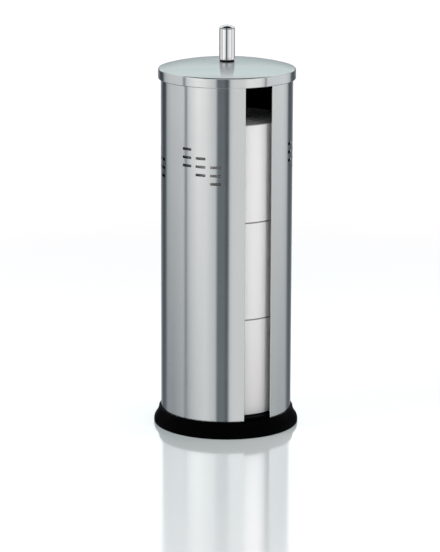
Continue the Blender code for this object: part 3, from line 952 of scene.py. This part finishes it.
def straight_grain(mesh, along_deg, within):
    """Turns the grain of the faces within a radius so that it runs straight across the piece."""
    along = Vector((cos(radians(along_deg)), sin(radians(along_deg))))
    across = Vector((-along.y, along.x))
    grain = mesh.uv_layers["grain"].data
    for face in mesh.polygons:
        if hypot(face.center.x, face.center.y) > within or abs(face.normal.z) < 0.5:
            continue
        for i in face.loop_indices:
            place = mesh.vertices[mesh.loops[i].vertex_index].co.xy
            grain[i].uv = (place.dot(along), place.dot(across))


LID_STEPS = 256
BRUSHED_DEG = -30.0  # direction of the straight brushing
lid = turned("lid_pressing", lid_section(), LID_STEPS)
straight_grain(lid.data, BRUSHED_DEG, dome_edge_radius)
fitted(lid, "lid", ["lid_shell"], satin_steel)
print("lid", len(lid.data.polygons), "faces")

# %% [markdown]
# ## The knob
# A short length of polished tube. A black plug fills its lower end and shows as the ring it stands on, and
# a slightly domed cap is set into its upper end. A screw and washer under the lid pull the plug tight.

# %% The knob's pieces
KNOB_STEPS = 96
knob_low, knob_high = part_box("knob_tube")
cap_low, cap_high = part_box("knob_end_cap")
plug_low, plug_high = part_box("knob_base_plug")
washer_low, washer_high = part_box("knob_washer")
screw_low, screw_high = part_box("knob_screw")
KNOB_RADIUS = knob_high.y
BORE = KNOB_RADIUS - 0.0011
CAP_RADIUS = cap_high.y
CAP_RIM = 0.0006

knob_section = eased(band(BORE, KNOB_RADIUS, knob_low.z, knob_high.z), 0.00035, steps=4)
knob = turned("knob_barrel", knob_section, KNOB_STEPS)
fitted(knob, "lid", ["knob_tube"], polished_steel)

cap_bottom = knob_high.z + FIT
cap_rise = cap_high.z - cap_bottom - CAP_RIM
cap_sphere = (CAP_RADIUS**2 + cap_rise**2) / (2 * cap_rise)
cap_centre = (0.0, cap_high.z - cap_sphere)
cap_edge_deg = degrees(asin((cap_sphere - cap_rise) / cap_sphere))
spigot = BORE - FIT
cap_hollow = (spigot - 0.0012, cap_low.z + 0.0045)
cap_skin = arc(cap_centre, cap_sphere, 90.0, cap_edge_deg, 20)
cap_skin[0] = (0.0, cap_high.z)
cap_rest = [
    cap_skin[-1],
    (CAP_RADIUS, cap_bottom),
    (spigot, cap_bottom),
    (spigot, cap_low.z),
    (cap_hollow[0], cap_low.z),
    cap_hollow,
    (0.0, cap_hollow[1]),
]
cap_section = [*cap_skin, *eased(cap_rest, SMALL_CORNER, closed=False)[1:]]
cap = turned("knob_cap", cap_section, KNOB_STEPS, closed=False)
straight_grain(cap.data, BRUSHED_DEG, CAP_RADIUS)
fitted(cap, "lid", ["knob_end_cap"], polished_steel)

PLUG_FLANGE = plug_high.y
flange_top = plug_low.z + 0.0010
hole_top = plug_low.z + 0.0130
plug_section = [
    (0.0, plug_high.z),
    (BORE - FIT, plug_high.z),
    (BORE - FIT, flange_top),
    (PLUG_FLANGE, flange_top),
    (PLUG_FLANGE, plug_low.z),
    (SCREW_HOLE, plug_low.z),
    (SCREW_HOLE, hole_top),
    (0.0, hole_top),
]
plug = turned("knob_plug", eased(plug_section, SMALL_CORNER, closed=False), KNOB_STEPS, closed=False)
fitted(plug, "lid", ["knob_base_plug"], black_plastic)

washer_section = eased(band(SCREW_HOLE, washer_high.y, washer_low.z, washer_high.z), 0.0002)
washer = turned("washer", washer_section, KNOB_STEPS)
fitted(washer, "lid", ["knob_washer"], zinc_plate)

# %% [markdown]
# ## The screw
# A pan-head screw with a cross recess and a thread. The thread's ridges are part of the turned outline,
# which is enough for a part that sits inside the plug, and the recess is cut with two crossed wedges.


# %% Thread and cross recess
def screw_section():
    head_top = washer_low.z - FIT
    head_bottom = screw_low.z
    shank, crest, pitch = 0.00165, 0.0020, 0.0010
    points = [(0.0, screw_high.z), (shank * 0.6, screw_high.z)]
    z = screw_high.z - 0.0006
    while z - pitch > head_top + 0.0006:
        points += [(shank, z), (crest, z - pitch * 0.45), (crest, z - pitch * 0.55), (shank, z - pitch)]
        z -= pitch
    points += [(shank, head_top), (screw_high.y, head_top), (screw_high.y, head_top - 0.0010)]
    points += arc((0.0, head_bottom + 0.0070), 0.0070, -49.0, -90.0, 10)
    points[-1] = (0.0, head_bottom)
    pairs = zip(points, points[1:])
    return points[:1] + [b for a, b in pairs if hypot(b[0] - a[0], b[1] - a[1]) > WELD]


def wedge(turn_deg):
    """One arm of the cross, which narrows towards the bottom of the recess."""
    bm = bmesh.new()
    for vert in bmesh.ops.create_cube(bm, size=1.0)["verts"]:
        deep = vert.co.z > 0
        vert.co.x *= 0.0022 if deep else 0.0050
        vert.co.y *= 0.0007 if deep else 0.0010
        vert.co.z = screw_low.z + 0.0018 if deep else screw_low.z - 0.0005
    turn = Matrix.Rotation(radians(turn_deg), 3, "Z")
    bmesh.ops.rotate(bm, verts=bm.verts, cent=(0.0, 0.0, 0.0), matrix=turn)
    return mesh_piece("recess", bm)


screw = turned("pan_head_screw", screw_section(), 48, closed=False)
cut(screw, [wedge(0.0), wedge(90.0)])
shaded(screw.data)
fitted(screw, "lid", ["knob_screw"], zinc_plate)
print("knob pieces made")

# %% [markdown]
# ## The rolls
# A roll is one long strip wound on a board core. Its side could be a plain cylinder, but its ends show the
# windings, and those are seen as soon as the lid is off. So each roll really is a spiral: a curve of many
# turns, with a thin upright strip swept along it. The tree then rounds the outer edges, where the soft
# layers have slipped, and moves each layer's edge up or down a hair with noise.

# %% The rule for the windings
WINDING = {
    "Core radius": 0.0212 + FIT,
    "Outer radius": 0.0580,
    "Height": 0.0984,
    "Edge": 0.0020,
    "Turns": 62,
    "Points": 96,
    "Bottom": 0.0,
    "Seed": 0.0,
}
SHEET_SHARE = 0.86  # of the pitch of the windings, the rest is air
RAGGED = 0.00035  # how far a layer's edge strays
RAGGED_PER_METRE = 3000.0


def winding_rule():
    tree, _, size = new_rule("winding rule", **WINDING)
    outer, edge = size["Outer radius"], size["Edge"]
    sheet = (outer - size["Core radius"]) / size["Turns"] * SHEET_SHARE
    half = sheet * 0.5
    keys = {
        "Resolution": size["Points"],
        "Rotations": size["Turns"],
        "Start Radius": size["Core radius"] + half,
        "End Radius": outer - half,
        "Height": 0.0,
    }
    spiral = step(tree, "GeometryNodeCurveSpiral", keys)
    upright = step(tree, "GeometryNodeSetCurveNormal", {"Curve": spiral}, mode="Z_UP")
    strip = step(tree, "GeometryNodeCurvePrimitiveQuadrilateral", {"Width": sheet, "Height": size["Height"]})
    fine = step(tree, "GeometryNodeSubdivideCurve", {"Curve": strip, "Cuts": 1})
    keys = {"Curve": upright, "Profile Curve": fine, "Fill Caps": True}
    wound = step(tree, "GeometryNodeCurveToMesh", keys)
    x, y, z = split(tree, step(tree, "GeometryNodeInputPosition"))
    reach = (x**2.0 + y**2.0).math("SQRT")
    over = (reach - (outer - edge)).math("MAXIMUM", 0.0)
    fall = edge - (edge**2.0 - over**2.0).math("MAXIMUM", 0.0).math("SQRT")
    drift = vector(tree, reach * RAGGED_PER_METRE, size["Seed"])
    ragged = noise(tree, drift, 1.0, 1.0, noise_dimensions="2D") * RAGGED
    half_tall = size["Height"] * 0.5
    tall = size["Bottom"] + half_tall + z * (1.0 - (fall + ragged) / half_tall)
    keys = {"Geometry": wound, "Position": vector(tree, x, y, tall)}
    return end_rule(tree, step(tree, "GeometryNodeSetPosition", keys), white_paper)


winding = winding_rule()


def grain_round(mesh):
    """Grain coordinates that run round Z and up it, for a piece that Geometry Nodes made."""
    layer = mesh.uv_layers.get("grain") or mesh.uv_layers.new(name="grain")
    for face in mesh.polygons:
        middle = Vector((face.center.x, face.center.y))
        for i in face.loop_indices:
            place = mesh.vertices[mesh.loops[i].vertex_index].co
            if abs(face.normal.z) > 0.5:
                layer.data[i].uv = (place.x, place.y)
            else:
                turn = middle.angle_signed(place.xy)
                around = Vector((0.0, -1.0)).angle_signed(middle) - turn if middle.length > WELD else 0.0
                layer.data[i].uv = (around * middle.length, place.z)


# %% Wind the three rolls
BOARD = 0.0008  # the core's wall

for number, name in enumerate(("bottom", "middle", "top")):
    body = f"roll_{name}"
    low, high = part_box(f"paper_{name}")
    core_low, core_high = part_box(f"core_{name}")
    sizes = dict(WINDING, Bottom=low.z, Height=high.z - low.z, Seed=7.0 * number)
    sizes["Outer radius"] = high.y
    sizes["Core radius"] = core_high.y + FIT
    roll = run_rule(as_piece(body, bpy.data.meshes.new(body)), winding, **sizes)
    grain_round(roll.data)
    shaded(roll.data)
    fitted(roll, body, [f"paper_{name}"])
    core_section = eased(band(core_high.y - BOARD, core_high.y, core_low.z, core_high.z), 0.0002)
    core = turned(f"board_core_{name}", core_section, KNOB_STEPS)
    fitted(core, body, [f"core_{name}"], grey_board)
    print(body, len(roll.data.polygons), "faces")

# %% [markdown]
# ## The studio
# The object stands on a white polished table in a white studio. Steel has no look of its own: it shows what
# stands round it, and photographers give it dark strips between white panels. Here the world is that
# surround: a ring of panels by compass direction, up to just above the horizon, with a soft gradient and a
# dark ceiling over it. Only the camera and rays through clear things see plain white. All other rays get
# the same surround, since Cycles samples the world's light without asking whether the ray is a reflection.
# The table is left out of the metal's reflections, because a bright table would hide the strips.

# %% Camera
CAMERA_AZIMUTH_DEG = -29.3
CAMERA_DISTANCE = 2.800
CAMERA_HEIGHT = 0.80899
LONG_SIDE_MM = 36.0
FOCAL_MM = 185.2655
YAW, PITCH, ROLL = 0.0022575, 0.2307758, 0.0030838

heading = radians(CAMERA_AZIMUTH_DEG) + YAW
level = Vector((-sin(heading), cos(heading), 0.0))
forward = level * cos(PITCH) - Vector((0.0, 0.0, 1.0)) * sin(PITCH)
up = level * sin(PITCH) + Vector((0.0, 0.0, 1.0)) * cos(PITCH)
right = Vector((cos(heading), sin(heading), 0.0))
tilted_right = right * cos(ROLL) + up * sin(ROLL)
tilted_up = up * cos(ROLL) - right * sin(ROLL)

camera_data = bpy.data.cameras.new("camera")
camera_data.sensor_fit = "AUTO"
camera_data.sensor_width = LONG_SIDE_MM
camera_data.lens = FOCAL_MM
camera = as_piece("camera", camera_data)
axes = Matrix((tilted_right, tilted_up, -forward)).transposed()
azimuth = radians(CAMERA_AZIMUTH_DEG)
spot = Vector((CAMERA_DISTANCE * sin(azimuth), -CAMERA_DISTANCE * cos(azimuth), CAMERA_HEIGHT))
camera.matrix_world = Matrix.Translation(spot) @ axes.to_4x4()
bpy.context.scene.camera = camera
bpy.context.scene.view_settings.view_transform = "Standard"
print("camera at", [round(v, 3) for v in spot])

# %% The surround
# Panels by the direction they lie in, in degrees from the camera, left negative. Each has the brightness
# that the metal sees high up and low down, since the panels fade towards the ground.
PANELS = [
    (-166, 0.42, 0.42), (-150, 0.05, 0.15), (-134.5, 0.02, 0.20), (-126, 0.65, 0.22), (-112, 0.92, 0.10),
    (-79.5, 0.98, 0.28), (-77.2, 0.30, 0.40), (-73.6, 0.32, 0.20), (-71.6, 0.98, 0.20), (-65, 1.15, 0.32),
    (-50, 1.43, 0.38), (-37, 1.15, 0.64), (-18.6, 0.71, 0.58), (-15.8, 0.14, 0.20), (-5, 0.14, 0.24),
    (0, 0.04, 0.18), (2.6, 0.04, 0.14), (6.2, 0.72, 0.66), (12, 0.80, 0.78), (28, 0.83, 0.76),
    (37, 1.10, 0.76), (58, 1.10, 0.62), (66.2, 0.76, 0.56), (67.3, 0.12, 0.12), (68.6, 0.12, 0.12),
    (70.2, 0.98, 0.42), (112, 1.08, 0.22), (124, 0.86, 0.30), (130.5, 0.62, 0.36), (136, 0.04, 0.35),
    (150, 0.10, 0.12), (180, 0.45, 0.45),
]
PANEL_HEIGHTS_DEG = (-6.0, -19.0)  # between these a panel goes from its first brightness to its second
PANEL_TOPS_DEG = (6.0, 11.0)  # where the sky starts and is whole, beside and behind the object
FRONT_TOPS_DEG = (13.0, 17.5)  # and in front of it
FRONT_SHARE = (0.20, 0.45)  # cosines of the compass angle that part the sides from the front
BACK_SHARE = (-0.80, -0.95)  # and from the back
SIDE_SKY = [(0.0, 0.52), (0.24, 0.46), (0.34, 0.46), (0.50, 0.74), (0.8, 1.0)]
BACK_SKY = [
    (0.06, (0.41, 0.53, 0.54)), (0.20, (0.43, 0.56, 0.57)), (0.222, (0.44, 0.57, 0.58)), (0.232, 1.0),
    (0.335, 1.0), (0.348, (0.57, 0.73, 0.73)), (0.5, (0.84, 0.98, 0.97)), (0.8, 1.0),
]
CEILING = 0.03
CEILING_EDGE_DEG = (45.0, 39.0)  # from straight overhead: where it starts and is whole
CEILING_LEAN = radians(2.0)
COOL_SHADES = [(0.10, (0.87, 1.0, 1.12)), (0.50, (0.93, 1.0, 1.05)), (0.85, 1.0)]


def make_world():
    world = bpy.data.worlds.new("studio")
    bpy.context.scene.world = world
    world.use_nodes = True
    tree = world.node_tree
    tree.nodes.clear()
    way = step(tree, "ShaderNodeTexCoord", output="Generated")
    turn = {"Vector": way, "Angle": -radians(CAMERA_AZIMUTH_DEG)}
    facing = step(tree, "ShaderNodeVectorRotate", turn, rotation_type="Z_AXIS")
    east, north, rise = split(tree, facing)

    def between(degrees_pair):
        return rise.spread(*(sin(radians(angle)) for angle in degrees_pair))

    compass = maths(tree, "ARCTAN2", east, north * -1.0)
    share = compass.spread(-pi, pi)
    high = ramp(tree, share, [((deg + 180) / 360, top) for deg, top, _ in PANELS])
    low = ramp(tree, share, [((deg + 180) / 360, bottom) for deg, _, bottom in PANELS])
    panels = blend(tree, between(PANEL_HEIGHTS_DEG), high, low)
    ahead = compass.math("COSINE")
    sky = blend(tree, ahead.spread(*BACK_SHARE), ramp(tree, rise, SIDE_SKY), ramp(tree, rise, BACK_SKY))
    over = ahead.spread(*FRONT_SHARE).spread(0.0, 1.0, between(PANEL_TOPS_DEG), between(FRONT_TOPS_DEG))
    surround = blend(tree, over, panels, sky)
    overhead = {0: facing, 1: (0.0, -sin(CEILING_LEAN), cos(CEILING_LEAN))}
    near = step(tree, "ShaderNodeVectorMath", overhead, "Value", operation="DOT_PRODUCT")
    dark = near.spread(*(cos(radians(angle)) for angle in CEILING_EDGE_DEG))
    surround = blend(tree, dark, surround, grey(CEILING))
    studio = blend(tree, 1.0, surround, ramp(tree, surround, COOL_SHADES), "MULTIPLY")
    path = node(tree, "ShaderNodeLightPath").outputs
    rays = [Output(tree, path[name]) for name in ("Is Camera Ray", "Is Transmission Ray")]
    seen = blend(tree, maths(tree, "MAXIMUM", *rays), studio, grey(1.0))
    glow = step(tree, "ShaderNodeBackground", {"Color": seen, "Strength": 1.0})
    node(tree, "ShaderNodeOutputWorld", {"Surface": glow})


make_world()

# %% Table and lamps
FLOOR_REACH = 30.0
TABLE_COLOUR = (0.92, 0.90, 0.90, 1.0)
POLISH = 0.60
POLISH_REACH = (0.45, 1.10)  # metres from the object: whole, and gone
POLISH_SLANT = (0.40, 0.70)  # the table mirrors only when it is looked at along its surface
GLOW_REACH = (0.30, 1.10)  # over which the glow's near colour turns to the far one
GLOW_NEAR, GLOW_FAR = (0.12, 0.165, 0.165, 1.0), grey(0.180)
TOP_LAMP_COLOUR, SLOT_LAMP_COLOUR = (1.0, 0.86, 0.86), (0.94, 1.0, 0.97)


def make_floor():
    mesh = bpy.data.meshes.new("table")
    signs = ((-1, -1), (1, -1), (1, 1), (-1, 1))
    mesh.from_pydata([(x * FLOOR_REACH, y * FLOOR_REACH, 0.0) for x, y in signs], [], [(0, 1, 2, 3)])
    made, tree, shader = new_finish("white table")
    tree.nodes.remove(shader)
    distance = step(tree, "ShaderNodeVectorMath", {0: object_place(tree)}, "Value", operation="LENGTH")
    slant = step(tree, "ShaderNodeLayerWeight", {"Blend": 0.5}, "Facing")
    polish = distance.spread(*POLISH_REACH, POLISH, 0.0) * slant.spread(*POLISH_SLANT)
    matt = step(tree, "ShaderNodeBsdfDiffuse", {"Color": TABLE_COLOUR})
    gloss = step(tree, "ShaderNodeBsdfGlossy", {"Color": grey(1.0), "Roughness": 0.10})
    both = step(tree, "ShaderNodeMixShader", {0: polish, 1: matt, 2: gloss})
    tint = blend(tree, distance.spread(*GLOW_REACH, 1.0, 0.0), GLOW_FAR, GLOW_NEAR)
    camera_ray = step(tree, "ShaderNodeLightPath", output="Is Camera Ray")
    glow = step(tree, "ShaderNodeEmission", {"Color": tint, "Strength": camera_ray})
    shown = step(tree, "ShaderNodeAddShader", {0: both, 1: glow})
    feed(tree, tree.nodes["Material Output"], {"Surface": shown})
    mesh.materials.append(made)
    floor = as_piece("table", mesh)
    floor.visible_glossy = False


def hung(name, kind, place, away, power, colour):
    """A lamp that shines against the direction away and isn't seen itself."""
    data = bpy.data.lights.new(name, kind)
    data.energy, data.color = power, colour
    made = as_piece(name, data)
    made.matrix_world = Matrix.Translation(place) @ away.to_track_quat("Z", "Y").to_matrix().to_4x4()
    made.visible_camera = made.visible_glossy = False
    return data


def lamp(name, azimuth_deg, elevation_deg, softness_deg, strength, colour=(1.0, 1.0, 1.0)):
    """A distant soft lamp, so that the whole table gets the same light."""
    a, e = radians(azimuth_deg), radians(elevation_deg)
    away = Vector((sin(a) * cos(e), -cos(a) * cos(e), sin(e)))
    hung(name, "SUN", (0.0, 0.0, 0.0), away, strength * pi, colour).angle = radians(softness_deg)


def slot_lamp(azimuth_deg, distance, height, aim_height, cone_deg, size, strength):
    """A narrow lamp on the rolls in the slot, which leaves the table in front alone."""
    a = radians(azimuth_deg)
    place = Vector((distance * sin(a), -distance * cos(a), height))
    away = place - Vector((0.0, -TUBE_RADIUS, aim_height))
    power = strength * 4 * pi * pi * away.length_squared
    data = hung("slot lamp", "SPOT", place, away, power, SLOT_LAMP_COLOUR)
    data.spot_size, data.spot_blend = radians(cone_deg), 1.0
    data.shadow_soft_size = size


make_floor()
slot_lamp(
    azimuth_deg=8.0, distance=1.2, height=0.34, aim_height=0.25, cone_deg=30.0, size=0.10, strength=0.24
)
lamp("left lamp", azimuth_deg=-95.0, elevation_deg=38.0, softness_deg=20.0, strength=0.30)
lamp("top lamp", 60.0, 75.0, softness_deg=40.0, strength=0.38, colour=TOP_LAMP_COLOUR)
